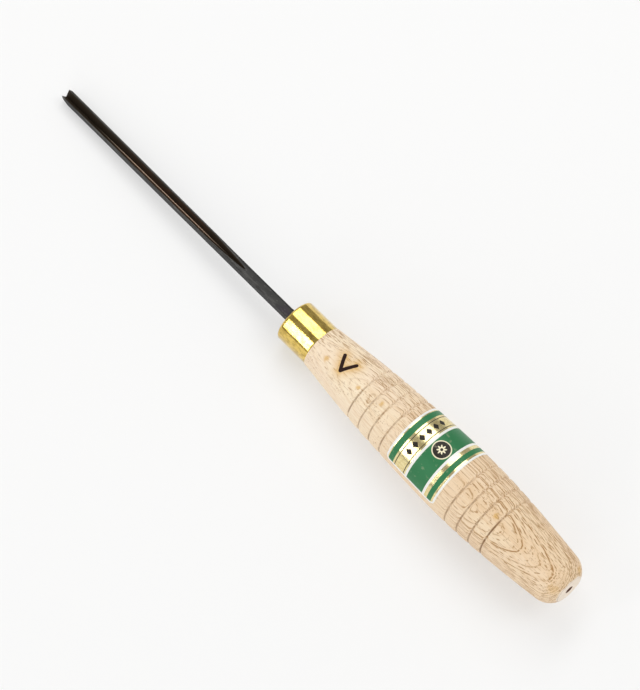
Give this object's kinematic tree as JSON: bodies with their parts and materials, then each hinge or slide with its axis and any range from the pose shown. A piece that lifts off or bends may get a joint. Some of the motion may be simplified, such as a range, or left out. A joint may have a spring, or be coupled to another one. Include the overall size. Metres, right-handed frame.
{
  "type": "carving parting tool",
  "caption": "Hand tool for wood carving: a straight V-shaped blade on a square shank, with its tang driven into a turned wooden handle under a brass ferrule.",
  "frame": {"origin": "on the tool's axis at the back end of the ferrule, where it seats on the handle's shoulder", "axes": "+X along the tool towards the cutting edge, +Z out of the open side of the V"},
  "size_m": [0.254, 0.0262, 0.0263],
  "materials": {
    "beech": "fine turned beech under a thin clear lacquer",
    "brass": "polished tube",
    "black_steel": "forged, hardened and left black, with a ground cutting edge",
    "printed_foil": "printed foil label in gold, green and white"
  },
  "bodies": {
    "root": {"handle": "beech", "ferrule": "brass", "blade": "black_steel", "label": "printed_foil"}
  },
  "joints": []
}
